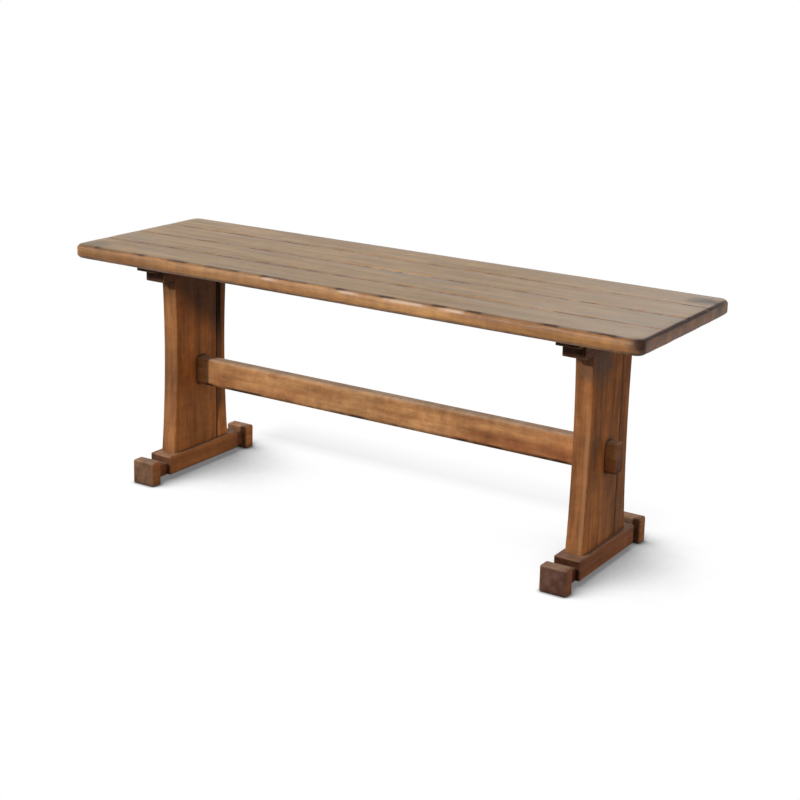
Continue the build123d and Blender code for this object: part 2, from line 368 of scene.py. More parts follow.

# %% Corner dirt and painted shade group
corners, given, made = new_group("Corner dirt", [("Vector", "Vector", None), ("Reach", "Float", 0.02)], ("Mask",))
# The walls' occlusion darkens each corner: dirt, and painted shade where the walls keep the light out
walls = add(corners, "AmbientOcclusion", {"Distance": given["Reach"]}, samples=6)
hidden = between(corners, walls.outputs["AO"], 0.80, 0.30)
patchy = between(corners, noise(corners, given["Vector"], (25, 25, 25)), 0.2, 0.8, 0.6, 1.0)
corners.links.new(maths(corners, "MULTIPLY", hidden, patchy), made["Mask"])
print("corner dirt group:", len(corners.nodes), "nodes")

# %% [markdown]
# ## Where a point of the wood is
# Each piece was cut from its own part of a log, so the grain starts at another place for each. The marks of use
# stay where they are on the bench, so they read the bench's own coordinates and the way that the surface faces.

# %% Grain space and whereabouts
turns = {"X": (0, 0, 0), "Y": (0, 0, -math.pi / 2), "Z": (0, math.pi / 2, 0)}


def grain_space(tree, node_name, along, pith):
    # Object coordinates turned so that X runs along the fibres, with the pith at its place from the piece's middle
    low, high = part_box(node_name)
    turned = Euler(turns[along]).to_matrix() @ ((low + high) / 2)
    place = add(tree, "TexCoord").outputs["Object"]
    sockets = {"Vector": place, "Location": Vector(pith) - turned, "Rotation": turns[along]}
    return add(tree, "Mapping", sockets, vector_type="POINT").outputs[0]


def whereabouts(tree):
    # The point, its X, Y and Z, and how much the surface there faces along each axis
    coordinates = add(tree, "TexCoord").outputs
    place = add(tree, "SeparateXYZ", {"Vector": coordinates["Object"]}).outputs
    facing = add(tree, "SeparateXYZ", {"Vector": coordinates["Normal"]}).outputs
    at = {"point": coordinates["Object"]}
    for axis in "XYZ":
        at[axis] = place[axis]
        at["faces " + axis] = facing[axis]
    return at


print("grain turns:", turns)

# %% [markdown]
# ## Stain
# The frame has one oiled brown, but stain sinks deeper into soft wood than into hard, so no spot has quite the
# same colour. The rings, fibres and streaks choose between a light and a dark brown, and blotches vary the result.

# %% Stained wood
pore_brown = (0.055, 0.022, 0.010, 1)


def stained(tree, figure, browns, pore=pore_brown, depth=1.0):
    light, dark = browns
    tone = maths(tree, "MULTIPLY", figure["Rings"], 0.18)
    tone = maths(tree, "MULTIPLY_ADD", figure["Fibres"], 0.14, tone)
    tone = maths(tree, "MULTIPLY_ADD", figure["Streaks"], 0.68, tone, clamp=True)
    colour = blended(tree, tone, light, dark)
    mottled = between(tree, figure["Mottle"], 0.0, 1.0, 1.0 - 0.22 * depth, 1.0 + 0.19 * depth)
    clouded = between(tree, figure["Clouds"], 0.0, 1.0, 1.0 - 0.15 * depth, 1.0 + 0.13 * depth)
    colour = tinted(tree, colour, grey(tree, maths(tree, "MULTIPLY", mottled, clouded)))
    return blended(tree, maths(tree, "MULTIPLY", figure["Pores"], 0.45), colour, pore)


print("pore brown", pore_brown)

# %% [markdown]
# ## Wear and gloss
# Rubbed arrises are paler, and corners hold dirt and painted shade. The finish is a thin old oil, so it has little
# gloss, and dirt and painted shade have none, which keeps the dark marks from shining grey. The pores and fibres
# are felt as well as seen. A bump gives that, because they are too fine to model.

# %% Wear and surface of wood
rubbed_brown = (0.46, 0.235, 0.10, 1)
dirt_and_shade_brown = (0.026, 0.012, 0.006, 1)
dirt_and_shade_lightness = 0.02
clean_lightness = 0.08


def worn(tree, colour, vector, rubbed_share=0.4, dirt_and_shade_share=0.75):
    rubbed = placed_group(tree, edges, {"Vector": vector, "Radius": 0.004})["Mask"]
    colour = blended(tree, maths(tree, "MULTIPLY", rubbed, rubbed_share), colour, rubbed_brown)
    # Corners darken with dirt and with painted shade
    dirt_and_shade = placed_group(tree, corners, {"Vector": vector, "Reach": 0.025})["Mask"]
    return blended(tree, maths(tree, "MULTIPLY", dirt_and_shade, dirt_and_shade_share), colour, dirt_and_shade_brown)


def wood_surface(tree, colour, figure, roughness, gloss):
    # The piece's shader, with the colour, the roughness between two values, and bumps from fibres and pores
    varied = between(tree, figure["Fibres"], 0.0, 1.0, roughness[0], roughness[1])
    lightness = add(tree, "RGBToBW", {"Color": colour}).outputs[0]
    dulled = between(tree, lightness, dirt_and_shade_lightness, clean_lightness, 0.1 * gloss, gloss)
    relief = maths(tree, "MULTIPLY_ADD", figure["Fibres"], -0.35, maths(tree, "MULTIPLY", figure["Pores"], -0.65))
    bump = add(tree, "Bump", {"Height": relief, "Strength": 0.32, "Distance": 0.0006}).outputs[0]
    sockets = {"Base Color": colour, "Roughness": varied, "Normal": bump, "Specular IOR Level": dulled}
    shader = add(tree, "BsdfPrincipled", sockets)
    add(tree, "OutputMaterial", {"Surface": shader.outputs[0]})


print("rubbed brown", rubbed_brown, "dirt_and_shade", dirt_and_shade_brown)

# %% [markdown]
# ## Frame wood
# Painted light makes the broad faces of the legs lighter and warmer than their narrow ones, and sawn ends drink
# the most stain and turn dark.
# One function makes this wood for any piece, and lays the piece's own marks over it.

# %% Frame wood
side_light_and_warmth = (1.58, 1.42, 1.20, 1)
end_grain_tint = (0.56, 0.66, 0.92, 1)


def frame_wood(node_name, along, pith, browns, marks=()):
    material, tree = new_material(node_name + "_wood")
    vector = grain_space(tree, node_name, along, pith)
    figure = placed_group(tree, grain, {"Vector": vector, "Ring Width": 0.005, "Wander": 0.012})
    at = whereabouts(tree)
    colour = stained(tree, figure, browns)
    # Painted light: the faces that look along X are made lighter and warmer
    sideways = between(tree, maths(tree, "ABSOLUTE", at["faces X"]), 0.3, 0.9)
    colour = blended(tree, sideways, colour, tinted(tree, colour, side_light_and_warmth))
    end_on = between(tree, maths(tree, "ABSOLUTE", at["faces " + along]), 0.5, 0.95)
    colour = blended(tree, end_on, colour, tinted(tree, colour, end_grain_tint))
    for mark in marks:
        colour = mark(tree, colour, at, figure)
    colour = worn(tree, colour, vector)
    wood_surface(tree, colour, figure, (0.56, 0.72), 0.22)
    return material


print("side warmth", side_light_and_warmth, "end grain", end_grain_tint)

# %% [markdown]
# ## Marks on the legs
# The photograph shows a dark upright band along the joint of each leg, the seat's shade on the legs, which is
# painted here, and dark stain round the stretcher's through tenon. Each mark is a small function of the place,
# so that a piece can take the marks that it needs.

# %% Joint band and painted shade under the seat
def dark_band(joint, width, share):
    # A dark streak in the edge board, from its joint towards the back, darker under the seat and thin at the foot
    def mark(tree, colour, at, figure):
        behind = maths(tree, "SUBTRACT", at["Y"], joint)
        wavy = maths(tree, "MULTIPLY_ADD", figure["Streaks"], -0.002, behind)
        reach = between(tree, at["Z"], 0.085, 0.125, 0.25 * width, width)
        band = between(tree, maths(tree, "DIVIDE", wavy, reach), 1.0, 0.6)
        faded = between(tree, at["Z"], 0.23, 0.31, 0.62 * share, share)
        return blended(tree, maths(tree, "MULTIPLY", band, faded), colour, dirt_and_shade_brown)
    return mark


def seat_shade(start, share):
    # Painted shade that grows towards the seat from a height
    def mark(tree, colour, at, figure):
        uneven = maths(tree, "MULTIPLY_ADD", figure["Clouds"], 0.05, at["Z"])
        near_seat = between(tree, uneven, start, start + 0.13, 0.0, share)
        return blended(tree, near_seat, colour, dirt_and_shade_brown)
    return mark


def seat_shadow_border(height, slope, share):
    # Painted shadow of the seat, whose lower border falls towards the back
    def mark(tree, colour, at, figure):
        level = maths(tree, "MULTIPLY_ADD", at["Y"], slope, at["Z"])
        uneven = maths(tree, "MULTIPLY_ADD", figure["Clouds"], 0.016, level)
        above = between(tree, uneven, height - 0.018, height + 0.034, 0.0, share)
        return blended(tree, above, colour, dirt_and_shade_brown)
    return mark


def dark_back_low(front, share):
    # Darker on the back half of a slab, below the stretcher's level
    def mark(tree, colour, at, figure):
        uneven = maths(tree, "MULTIPLY_ADD", figure["Clouds"], 0.010, at["Y"])
        behind = between(tree, uneven, front, front + 0.022)
        low_part = between(tree, at["Z"], 0.275, 0.235, 0.0, share)
        return blended(tree, maths(tree, "MULTIPLY", behind, low_part), colour, dirt_and_shade_brown)
    return mark


def painted_face_light(axis, tint):
    # Painted light and shade: the faces that look along one axis, made paler or darker than the others
    def mark(tree, colour, at, figure):
        along = between(tree, maths(tree, "ABSOLUTE", at["faces " + axis]), 0.3, 0.9)
        return blended(tree, along, colour, tinted(tree, colour, tint))
    return mark


def pale_foot(tree, colour, at, figure):
    # The lowest part of the left edge board, made paler
    low_part = between(tree, at["Z"], 0.125, 0.095)
    return blended(tree, low_part, colour, tinted(tree, colour, (1.26, 1.28, 1.26, 1)))


left_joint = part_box("leg_left")[1].y
right_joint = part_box("leg_right")[1].y
print("leg joints at", round(left_joint, 3), round(right_joint, 3))

# %% Stain round the through tenon
tenon_line_width = 0.004
stretcher_radius = 0.007


def tenon_line(tree, colour, at, figure):
    # The distance from the stretcher's rounded outline, dark where it is small
    low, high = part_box("stretcher")
    middle = (low + high) / 2
    half = (high - low) / 2
    across = maths(tree, "ABSOLUTE", maths(tree, "SUBTRACT", at["Y"], middle.y))
    upright = maths(tree, "ABSOLUTE", maths(tree, "SUBTRACT", at["Z"], middle.z))
    aside = maths(tree, "MAXIMUM", maths(tree, "SUBTRACT", across, half.y - stretcher_radius), 0.0)
    above = maths(tree, "MAXIMUM", maths(tree, "SUBTRACT", upright, half.z - stretcher_radius), 0.0)
    squares = maths(tree, "MULTIPLY_ADD", aside, aside, maths(tree, "MULTIPLY", above, above))
    away = maths(tree, "SUBTRACT", maths(tree, "SQRT", squares), stretcher_radius)
    line = between(tree, away, tenon_line_width, tenon_line_width / 3, 0.0, 0.75)
    return blended(tree, line, colour, dirt_and_shade_brown)


print("stain round the tenon", tenon_line_width, "m wide")

# %% [markdown]
# The right leg has a grey patch under the seat, a short crack in front of the tenon, and a pale streak where its
# front arris was rubbed. A ragged spot is used again for stains on the seat, so it is a helper of its own.

# %% Spots, crack and rubbed streak
def stain_spot(centre, reach, share, stain):
    # A soft stain with a ragged edge round a place
    def mark(tree, colour, at, figure):
        distance = add(tree, "VectorMath", {0: at["point"], 1: centre}, operation="DISTANCE").outputs["Value"]
        ragged = maths(tree, "MULTIPLY_ADD", noise(tree, at["point"], (45, 45, 45), 3.0, 0.6), reach, distance)
        inside = between(tree, ragged, reach * 1.5, reach * 0.8, 0.0, share)
        return blended(tree, inside, colour, stain)
    return mark


def patchy(sizes, dark, light):
    # Uneven patches, where the stain took more in one place than in the next
    def mark(tree, colour, at, figure):
        patches = between(tree, noise(tree, at["point"], sizes, 4.0, 0.65), 0.34, 0.66)
        return tinted(tree, colour, blended(tree, patches, dark, light))
    return mark


def crack(place_y, low_z, high_z):
    # A dark line as thin as a thread, along the grain of an upright piece
    def mark(tree, colour, at, figure):
        wobble = maths(tree, "MULTIPLY_ADD", figure["Clouds"], 0.004, at["Y"])
        away = maths(tree, "ABSOLUTE", maths(tree, "SUBTRACT", wobble, place_y + 0.002))
        thin = between(tree, away, 0.0026, 0.0008, 0.0, 0.7)
        foot = between(tree, at["Z"], low_z, low_z + 0.012)
        top = between(tree, at["Z"], high_z, high_z - 0.012)
        return blended(tree, maths(tree, "MULTIPLY", thin, maths(tree, "MULTIPLY", foot, top)), colour, dirt_and_shade_brown)
    return mark


def rubbed_streak(tree, colour, at, figure):
    # A pale streak up the front face of the right leg, beside its outer arris
    away = maths(tree, "ABSOLUTE", maths(tree, "SUBTRACT", at["X"], streak_place))
    beside = between(tree, away, 0.0055, 0.0015, 0.0, 0.22)
    fronts = between(tree, at["faces Y"], -0.5, -0.9)
    low_part = between(tree, at["Z"], 0.33, 0.26)
    share = maths(tree, "MULTIPLY", beside, maths(tree, "MULTIPLY", fronts, low_part))
    return blended(tree, share, colour, streak_brown)


streak_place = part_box("leg_right")[1].x - 0.006
streak_brown = (0.66, 0.37, 0.18, 1)
patch_grey = (0.085, 0.060, 0.042, 1)
patch_place = Vector((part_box("leg_right")[1].x, -0.040, 0.392))
spot_place = Vector((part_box("leg_right")[1].x, -0.052, 0.232))
print("grey patch at", patch_place)

# %% [markdown]
# ## Marks on the stretcher and the feet
# The stretcher's ends outside the legs took more stain, and its lower arris is dented and dark in places, and a
# painted sheen lies along its top. The notches of the feet are painted a dark reddish brown for the shade in them,
# and the tops of the toes are paler.

# %% Stretcher and foot marks
def dark_ends(tree, colour, at, figure):
    outside = maths(tree, "ABSOLUTE", at["X"])
    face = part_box("leg_right")[1].x
    ends = between(tree, outside, face - 0.002, face + 0.002)
    end_on = between(tree, maths(tree, "ABSOLUTE", at["faces X"]), 0.5, 0.9)
    stub = blended(tree, end_on, tinted(tree, colour, stub_tint), tinted(tree, colour, stub_end_tint))
    return blended(tree, ends, colour, stub)


def ragged_bottom(tree, colour, at, figure):
    # Dark dashes along the lower arrises, fainter on the ends outside the legs
    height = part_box("stretcher")[0].z
    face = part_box("leg_right")[1].x
    low_edge = between(tree, at["Z"], height + 0.0090, height + 0.0055)
    dashes = between(tree, noise(tree, at["point"], (18, 8, 8), 3.0, 0.6), 0.44, 0.56, 0.35, 0.90)
    outside = maths(tree, "ABSOLUTE", at["X"])
    dashes = maths(tree, "MULTIPLY", dashes, between(tree, outside, face - 0.002, face + 0.002, 1.0, 0.5))
    return blended(tree, maths(tree, "MULTIPLY", low_edge, dashes), colour, dirt_and_shade_brown)


def stretcher_face_light(tree, colour, at, figure):
    # The stretcher's front is painted paler on its upper half, as light from above falls there; it is also paler
    # in its middle and darker on its lower right part
    upper = between(tree, at["Z"], 0.198, 0.214)
    upper = maths(tree, "MULTIPLY", upper, between(tree, at["X"], 0.12, 0.36, 0.85, 0.50))
    middle = maths(tree, "MULTIPLY", between(tree, at["X"], -0.20, -0.08), between(tree, at["X"], 0.22, 0.10))
    right = maths(tree, "MULTIPLY", between(tree, at["X"], 0.10, 0.28), maths(tree, "SUBTRACT", 1.0, upper))
    pale = maths(tree, "MAXIMUM", upper, middle)
    colour = blended(tree, pale, colour, tinted(tree, colour, pale_face_tint))
    return blended(tree, right, colour, tinted(tree, colour, dull_tint))


def notch_shade(tree, colour, at, figure):
    # Painted shade in the necks between the runner and its toes, and on the runner's ends beside them
    away = maths(tree, "ABSOLUTE", at["Y"])
    beside = between(tree, away, notch_start - 0.022, notch_start - 0.004, 0.0, 0.45)
    neck = between(tree, away, notch_start - 0.0025, notch_start + 0.0005)
    return blended(tree, maths(tree, "MAXIMUM", beside, neck), colour, tinted(tree, colour, notch_shade_tint))


def pale_tops(pale_colour, share):
    # Upward faces laid over with a paler colour: a painted sheen on the stretcher's top, paler tops on the toes
    def mark(tree, colour, at, figure):
        upward = between(tree, at["faces Z"], 0.4, 0.95)
        patchy = between(tree, figure["Mottle"], 0.2, 0.8, 0.5 * share, share)
        return blended(tree, maths(tree, "MULTIPLY", upward, patchy), colour, pale_colour)
    return mark


notch_length = 0.027
notch_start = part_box("toe_left_rear")[0].y - notch_length
notch_shade_tint = (0.42, 0.33, 0.36, 1)
stub_tint = (1.08, 1.08, 1.03, 1)
stub_end_tint = (0.70, 0.56, 0.45, 1)
pale_face_tint = (1.17, 1.27, 1.32, 1)
dull_tint = (0.78, 0.64, 0.58, 1)
foot_pale_tops = pale_tops((0.44, 0.31, 0.225, 1), 0.50)
# A painted sheen along the stretcher's top
stretcher_top_sheen = pale_tops((0.58, 0.44, 0.31, 1), 0.75)
print("notch starts at", round(notch_start, 4))

# %% [markdown]
# ## Finish the frame
# Each piece gets the way its fibres run, its place from the pith, its two browns and its own marks. A table keeps
# them side by side, where they are easy to compare and to change.

# %% Browns of the frame
leg_browns = ((0.42, 0.175, 0.058, 1), (0.185, 0.070, 0.021, 1))
stretcher_browns = ((0.52, 0.243, 0.092, 1), (0.30, 0.128, 0.045, 1))
runner_browns = ((0.58, 0.235, 0.082, 1), (0.30, 0.115, 0.038, 1))
dark_runner_browns = ((0.30, 0.108, 0.036, 1), (0.145, 0.049, 0.016, 1))
toe_browns = ((0.44, 0.185, 0.070, 1), (0.21, 0.080, 0.029, 1))
dark_toe_browns = ((0.28, 0.108, 0.049, 1), (0.13, 0.048, 0.023, 1))
# The bearers' browns are kept far darker than the legs': painted shade under the seat
bearer_browns_shaded = ((0.16, 0.064, 0.024, 1), (0.065, 0.024, 0.010, 1))
# Painted light and shade on the legs: the left leg's sides lighter, the right leg's front darker and its sides warmer
left_tone = painted_face_light("X", (1.36, 1.35, 1.34, 1))
right_front = painted_face_light("Y", (0.87, 0.81, 0.76, 1))
right_side = painted_face_light("X", (1.09, 1.03, 0.89, 1))
left_patches = patchy((18, 18, 5), (0.83, 0.81, 0.79, 1), (1.20, 1.20, 1.21, 1))
left_leg_marks = (left_tone, left_patches, tenon_line, seat_shadow_border(0.311, 0.73, 0.74))
left_edge_marks = (left_tone, pale_foot, dark_band(left_joint, 0.0155, 0.97), seat_shadow_border(0.311, 0.73, 0.55))
grey_patch = stain_spot(patch_place, 0.068, 0.75, patch_grey)
right_back = dark_back_low(-0.012, 0.34)
right_seat_shade = seat_shade(0.35, 0.30)
short_crack = crack(-0.040, 0.235, 0.285)
leg_patches = patchy((26, 26, 8), (0.72, 0.68, 0.64, 1), (1.25, 1.26, 1.27, 1))
dark_spot = stain_spot(spot_place, 0.030, 0.40, patch_grey)
right_leg_marks = (
    right_front, right_side, leg_patches, tenon_line, right_seat_shade, right_back,
    grey_patch, dark_spot, short_crack, rubbed_streak,
)
right_edge_marks = (right_side, leg_patches, dark_band(right_joint, 0.009, 0.30), right_seat_shade, right_back)
stretcher_patches = patchy((22, 36, 36), (0.80, 0.70, 0.64, 1), (1.18, 1.22, 1.26, 1))
stretcher_marks = (stretcher_face_light, stretcher_patches, dark_ends, ragged_bottom, stretcher_top_sheen)
print("leg marks:", len(left_leg_marks), len(right_leg_marks))

# %% Finish each piece of the frame
frame_pieces = {
    "leg_left": ("Z", (0.35, 0.030, 0.09), leg_browns, left_leg_marks),
    "leg_left_edge_board": ("Z", (0.70, 0.060, 0.05), leg_browns, left_edge_marks),
    "leg_right": ("Z", (1.30, -0.020, 0.08), leg_browns, right_leg_marks),
    "leg_right_edge_board": ("Z", (1.90, 0.050, 0.07), leg_browns, right_edge_marks),
    "stretcher": ("X", (2.50, 0.060, 0.03), stretcher_browns, stretcher_marks),
    "bearer_left": ("Y", (3.10, 0.030, 0.05), bearer_browns_shaded, ()),
    "bearer_right": ("Y", (3.70, -0.030, 0.06), bearer_browns_shaded, ()),
    "foot_left": ("Y", (4.30, 0.020, 0.06), runner_browns, (notch_shade, foot_pale_tops)),
    "foot_right": ("Y", (4.90, 0.035, 0.05), dark_runner_browns, (notch_shade, foot_pale_tops)),
    "toe_left_front": ("Y", (5.50, 0.010, 0.045), toe_browns, (foot_pale_tops,)),
    "toe_left_rear": ("Y", (5.70, 0.020, 0.040), runner_browns, (foot_pale_tops,)),
    "toe_right_front": ("Y", (5.90, -0.015, 0.050), dark_toe_browns, (foot_pale_tops,)),
    "toe_right_rear": ("Y", (6.10, 0.025, 0.045), toe_browns, (foot_pale_tops,)),
}


def finish_node(node_name, material):
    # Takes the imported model's plain material off a CAD node and puts the new one on
    mesh = cad_nodes[node_name].data
    mesh.materials.clear()
    mesh.materials.append(material)


for node_name, (along, pith, browns, marks) in frame_pieces.items():
    finish_node(node_name, frame_wood(node_name, along, pith, browns, marks))
print("frame pieces finished:", len(frame_pieces))

# %% [markdown]
# ## Seat boards with worn arrises
# Years of use have rounded and dented the seat's arrises unevenly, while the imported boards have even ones. A bump
# in the material could hint at dents, but it leaves the outline straight, and the eye checks outlines first. So
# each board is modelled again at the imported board's size. It starts as a block, and its outer corners are rounded.

# %% A board as a block with round corners
seat_names = [f"seat_board_{number}" for number in range(1, 5)]
seat_low = Vector((cad_low[0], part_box(seat_names[0])[0].y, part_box(seat_names[0])[0].z))
seat_high = Vector((cad_high[0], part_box(seat_names[-1])[1].y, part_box(seat_names[0])[1].z))
corner_radius = 0.018
tiny = 0.0001


def select_edges(board, test):
    # Selects the edges of the open mesh whose two ends pass a test
    bpy.ops.mesh.select_all(action="DESELECT")
    shape = bmesh.from_edit_mesh(board.data)
    chosen = [edge for edge in shape.edges if test(edge)]
    for edge in chosen:
        edge.select_set(True)
    bmesh.update_edit_mesh(board.data)
    return len(chosen)


def at_seat_side(point):
    return point.y < seat_low.y + tiny or point.y > seat_high.y - tiny


def at_seat_corner(edge):
    # An upright edge at one of the seat's four corners
    first, second = (point.co for point in edge.verts)
    return abs(first.z - second.z) > 0.01 and at_seat_side(first)


def board_block(name, low, high):
    bpy.ops.object.select_all(action="DESELECT")
    bpy.ops.mesh.primitive_cube_add(size=1.0)
    board = bpy.context.object
    board.name = name
    bpy.ops.object.mode_set(mode="EDIT")
    bpy.ops.mesh.select_mode(type="EDGE")
    bpy.ops.mesh.select_all(action="SELECT")
    bpy.ops.transform.resize(value=tuple(high - low), center_override=(0, 0, 0))
    bpy.ops.transform.translate(value=tuple((low + high) / 2))
    if select_edges(board, at_seat_corner):
        bpy.ops.mesh.bevel(offset=corner_radius, segments=8, affect="EDGES")
    return board


print("seat from", seat_low, "to", seat_high)

# %% [markdown]
# A long straight edge can't bend where it has no points, so the board is cut into short lengths and narrow strips.
# The cuts keep clear of the round corners. Then the outer arrises are rounded and the joint's arrises are eased,
# which leaves the small V between two boards.

# %% Cut the board and round its arrises
cut_spacing = 0.008
cut_count = 72
strip_shares = (0.22, 0.31, 0.40, 0.50, 0.60, 0.69, 0.78)
arris_radius = 0.006
joint_ease = 0.002


def cut_board(low, high):
    # Straight cuts across the length, then along it
    for number in range(-cut_count, cut_count + 1):
        bpy.ops.mesh.select_all(action="SELECT")
        bpy.ops.mesh.bisect(plane_co=(number * cut_spacing, 0, 0), plane_no=(1, 0, 0))
    for share in strip_shares:
        bpy.ops.mesh.select_all(action="SELECT")
        bpy.ops.mesh.bisect(plane_co=(0, low.y + share * (high.y - low.y), 0), plane_no=(0, 1, 0))


def is_arris(edge):
    # A sharp edge that isn't upright
    sharp = edge.calc_face_angle(0.0) > 1.0
    return sharp and abs(edge.verts[0].co.z - edge.verts[1].co.z) < tiny


def is_joint(edge):
    # A lengthwise arris between two boards
    first, second = (point.co for point in edge.verts)
    lengthwise = abs(first.y - second.y) < tiny and abs(first.x - second.x) > tiny
    return is_arris(edge) and lengthwise and not at_seat_side(first)


def round_arrises(board):
    # Bevel weights let one modifier round the outer arrises and ease the joints together
    outer = select_edges(board, lambda edge: is_arris(edge) and not is_joint(edge))
    bpy.ops.transform.edge_bevelweight(value=1.0)
    joints = select_edges(board, is_joint)
    bpy.ops.transform.edge_bevelweight(value=joint_ease / arris_radius)
    bpy.ops.object.mode_set(mode="OBJECT")
    bevel = board.modifiers.new("Arrises", "BEVEL")
    bevel.limit_method = "WEIGHT"
    bevel.width = arris_radius
    bevel.segments = 4
    bpy.ops.object.modifier_apply(modifier=bevel.name)
    return outer, joints


print("cuts along each board:", 2 * cut_count + 1)

# %% [markdown]
# Wear takes wood away and never adds any. So the arrises are pushed inwards only, by a cloudy texture that leaves
# some lengths almost whole and dents others by two or three millimetres.

# %% Wear the arrises
wear_depth = 0.0022
wear_texture = bpy.data.textures.new("wear", "CLOUDS")
wear_texture.noise_scale = 0.028
wear_texture.noise_depth = 3
wear_texture.contrast = 1.3
wear_texture.intensity = 0.85


def wear_arrises(board):
    # The weight is 1 halfway round an arris and 0 on the flat faces
    arrises = board.vertex_groups.new(name="arrises")
    for vertex in board.data.vertices:
        upward = abs(vertex.normal.z)
        outward = math.hypot(vertex.normal.x, vertex.normal.y)
        weight = min(1.0, 1.5 * min(upward, outward))
        if weight > 0.1:
            arrises.add([vertex.index], weight, "REPLACE")
    wear = board.modifiers.new("Wear", "DISPLACE")
    wear.texture = wear_texture
    wear.texture_coords = "LOCAL"
    wear.vertex_group = arrises.name
    wear.mid_level = 1.0
    wear.strength = wear_depth
    bpy.ops.object.modifier_apply(modifier=wear.name)


print("wear up to", wear_depth, "m deep")

# %% Make the four boards
worn_boards = {}
for number, node_name in enumerate(seat_names, start=1):
    low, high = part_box(node_name)
    board = board_block(f"worn_board_{number}", low, high)
    cut_board(low, high)
    outer, joints = round_arrises(board)
    wear_arrises(board)
    bpy.ops.object.shade_smooth_by_angle(angle=math.radians(50))
    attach(board, "root")
    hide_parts(node_name)
    worn_boards[node_name] = board
    print(board.name, len(board.data.vertices), "points,", outer, "outer and", joints, "joint arrises")

# %% [markdown]
# ## Seat wood
# The seat's top is worn to a greyish tan under a satin varnish, with a greyer streak on its second board and a
# painted sheen that grows towards its right end. Its edges keep a golden brown, paler in the middle of the bench.

# %% Top and edge colours of the seat
tan_browns = ((0.46, 0.285, 0.132, 1), (0.27, 0.156, 0.067, 1))
tan_pore = (0.12, 0.065, 0.035, 1)
edge_browns = ((0.465, 0.218, 0.068, 1), (0.21, 0.084, 0.024, 1))
patina_grey = (0.235, 0.200, 0.155, 1)
right_end_sheen = (0.50, 0.40, 0.32, 1)
smudge_grey = (0.075, 0.060, 0.050, 1)
left_smudge = stain_spot(Vector((seat_low.x + 0.034, seat_low.y + 0.026, seat_high.z)), 0.042, 0.50, smudge_grey)
edge_middle_tint = (1.44, 1.57, 1.85, 1)


def tan_top(tree, figure, at, grey_share):
    colour = stained(tree, figure, tan_browns, tan_pore, 0.6)
    bands = between(tree, noise(tree, at["point"], (2.2, 38, 0), 3.0, 0.6), 0.50, 0.66, 0.0, grey_share)
    colour = blended(tree, bands, colour, patina_grey)
    # A painted sheen that grows towards the right end
    colour = blended(tree, between(tree, at["X"], 0.20, 0.60, 0.0, 0.5), colour, right_end_sheen)
    return left_smudge(tree, colour, at, figure)


def golden_edge(tree, figure, at):
    colour = stained(tree, figure, edge_browns, depth=1.25)
    ends = tinted(tree, colour, grey(tree, between(tree, at["X"], -0.20, 0.20, 0.84, 1.16)))
    from_left = between(tree, at["X"], -0.45, -0.12)
    from_right = between(tree, at["X"], 0.50, 0.15)
    # Paler in the middle of the front edge
    middle = tinted(tree, colour, edge_middle_tint)
    return blended(tree, maths(tree, "MULTIPLY", from_left, from_right), ends, middle)


print("tan", tan_browns[0], "edge", edge_browns[0])

# %% [markdown]
# The joints hold old dirt as a thin reddish line, broken into dashes, with faint smudges beside it. On the right
# end it fades out. The line is drawn from the distance to the board's joints, so it stays true from every side.

# %% Joint lines
groove_brown = (0.120, 0.048, 0.028, 1)
valley_brown = (0.175, 0.095, 0.054, 1)
smudge_brown = (0.27, 0.140, 0.076, 1)


def joint_lines(tree, colour, at, joints, end_on):
    near = maths(tree, "ABSOLUTE", maths(tree, "SUBTRACT", at["Y"], joints[0]))
    other = maths(tree, "ABSOLUTE", maths(tree, "SUBTRACT", at["Y"], joints[-1]))
    gap = maths(tree, "MINIMUM", near, other)
    not_on_end = between(tree, end_on, 0.6, 0.3)
    inside = between(tree, gap, joint_ease * 1.3, joint_ease)
    dashes = noise(tree, at["point"], (20, 4, 4), 3.0, 0.6)
    inside = maths(tree, "MULTIPLY", inside, between(tree, dashes, 0.46, 0.60, 0.30, 1.0))
    colour = blended(tree, maths(tree, "MULTIPLY", inside, not_on_end), colour, valley_brown)
    width = between(tree, dashes, 0.42, 0.62, 0.0030, 0.0052)
    line = between(tree, maths(tree, "DIVIDE", gap, width), 1.0, 0.45)
    strength = between(tree, dashes, 0.50, 0.62, 0.12, 0.78)
    along = between(tree, at["X"], 0.05, 0.55, 1.0, 0.55)
    faded = maths(tree, "MULTIPLY", along, not_on_end)
    soft = noise(tree, at["point"], (8, 55, 0), 3.0, 0.6)
    beside = maths(tree, "MULTIPLY", between(tree, gap, 0.011, 0.002, 0.0, 0.42), between(tree, soft, 0.46, 0.64))
    colour = blended(tree, maths(tree, "MULTIPLY", beside, faded), colour, smudge_brown)
    line_share = maths(tree, "MULTIPLY", line, maths(tree, "MULTIPLY", strength, faded))
    return blended(tree, line_share, colour, groove_brown)


print("groove brown", groove_brown)

# %% [markdown]
# Stain that was never rubbed off lies along the top arrises in dashes. Just below it, on the middle of the front
# edge, painted highlights shine pale. The right end is soaked black-brown, and the bottom arris has a few dark dents.

# %% Stain and wear along the seat's arrises
arris_brown = (0.052, 0.024, 0.017, 1)
highlight_pink = (0.70, 0.50, 0.38, 1)
dash_pitch = 0.105
highlight_places = ((-0.125, 0.010), (0.042, 0.018), (0.160, 0.034), (0.253, 0.020))


